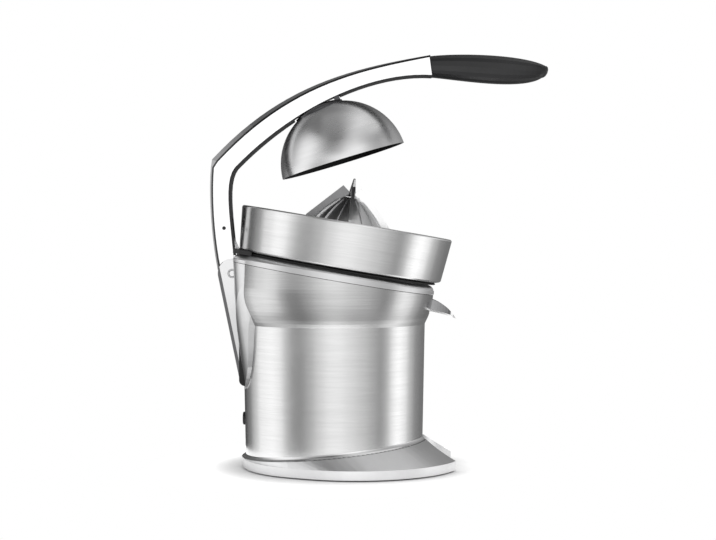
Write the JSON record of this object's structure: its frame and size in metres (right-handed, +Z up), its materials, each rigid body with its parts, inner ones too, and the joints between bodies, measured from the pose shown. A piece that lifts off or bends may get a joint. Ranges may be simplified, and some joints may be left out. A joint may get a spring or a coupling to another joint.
{
  "type": "motorised lever citrus press",
  "caption": "Motorised citrus press: a long lever on a linkage presses a dome over a finned cone in a tilted bowl with a strainer, above a spout and a notch for a glass.",
  "frame": {"origin": "on the body's upright axis, at the table", "axes": "+Z up, +X towards the spout and the grip, +Y to the press's left"},
  "size_m": [0.3639, 0.229, 0.4446],
  "materials": {
    "brushed_shell": "brushed, upright grain",
    "brushed_bowl": "brushed, grain round the bowl",
    "satin_casting": "satin, painted silver over the casting",
    "polished_arm": "polished",
    "satin_dome": "satin",
    "cone_metal": "satin",
    "strainer_steel": "satin",
    "spout_steel": "polished",
    "black_plastic": "fine grain",
    "grip_black": "satin gloss",
    "dark_metal": "dark satin paint",
    "seal_rubber": "matt",
    "plain_steel": "plain",
    "bush_brass": "turned",
    "gear_plastic": "moulded",
    "board_green": "lacquered"
  },
  "bodies": {
    "stand": {"foot_ring": "seal_rubber", "bottom_plate": "black_plastic", "base_screws": "plain_steel", "base_casting": "satin_casting", "body_shell": "brushed_shell", "rear_column": "satin_casting", "top_collar": "satin_casting", "column_cap": "black_plastic", "deck": "black_plastic", "juice_bowl": "brushed_bowl", "strainer": "strainer_steel", "drain_duct": "black_plastic", "spout_pin": "plain_steel", "spindle_bush": "bush_brass", "shaft_seal": "seal_rubber", "motor_bracket": "plain_steel", "motor_can": "dark_metal", "motor_screws": "plain_steel", "start_switch": "black_plastic", "power_board": "board_green", "cord_gland": "black_plastic", "rocker_pin": "plain_steel", "anchor_pin": "plain_steel", "return_spring": "plain_steel", "press_spring": "plain_steel"},
    "rotor": {"rotor_shaft": "plain_steel", "rotor_core": "plain_steel", "pinion": "plain_steel", "cooling_fan": "black_plastic"},
    "carriage": {"thrust_cup": "black_plastic"},
    "reamer": {"spindle": "plain_steel", "spindle_gear": "gear_plastic", "reamer_cone": "cone_metal"},
    "rocker": {"rocker": "polished_arm", "knuckle_pin": "plain_steel"},
    "link": {"control_link": "plain_steel"},
    "lever": {"lever_arm": "polished_arm", "rear_cover": "black_plastic", "front_cover": "black_plastic", "grip": "grip_black", "dome_mount": "dark_metal", "pressing_dome": "satin_dome", "dome_screws": "plain_steel", "upper_pin": "plain_steel"},
    "spout": {"spout": "spout_steel"}
  },
  "joints": [
    {"name": "lever_pull", "type": "hinge", "parent": "rocker", "child": "lever", "pos_m": [-0.1091, 0, 0.209], "axis": [0, 1, 0], "range_deg": [0, 47.2], "stiffness_Nm_per_rad": 2.2, "springref_deg": -57.3},
    {"name": "rocker_swing", "type": "hinge", "parent": "stand", "child": "rocker", "pos_m": [-0.0952, 0, 0.095], "axis": [0, -1, 0], "range_deg": [0, 20.6]},
    {"name": "link_swing", "type": "hinge", "parent": "stand", "child": "link", "pos_m": [-0.103, 0, 0.22264], "axis": [0, -1, 0], "range_deg": [0, 32.69]},
    {"name": "cone_press", "type": "slide", "parent": "stand", "child": "carriage", "axis": [-0.1668, 0, -0.986], "range_m": [0, 0.002], "stiffness_N_per_m": 3000, "springref_m": -0.004, "deforming": ["press_spring"]},
    {"name": "cone_spin", "type": "hinge", "parent": "carriage", "child": "reamer", "pos_m": [0.0068, 0, 0.2186], "axis": [0.1668, 0, 0.986], "continuous": true},
    {"name": "rotor_spin", "type": "hinge", "parent": "stand", "child": "rotor", "pos_m": [0.04821, 0, 0.2116], "axis": [0.1668, 0, 0.986], "continuous": true},
    {"name": "spout_tilt", "type": "hinge", "parent": "stand", "child": "spout", "pos_m": [0.099, 0, 0.176], "axis": [0, -1, 0], "range_deg": [0, 22]}
  ],
  "couplings": [
    {"joint": "rocker_swing", "follows": "lever_pull", "ratio": 0.43644},
    {"joint": "link_swing", "follows": "lever_pull", "ratio": 0.69246},
    {"joint": "cone_spin", "follows": "rotor_spin", "ratio": -0.33333}
  ]
}
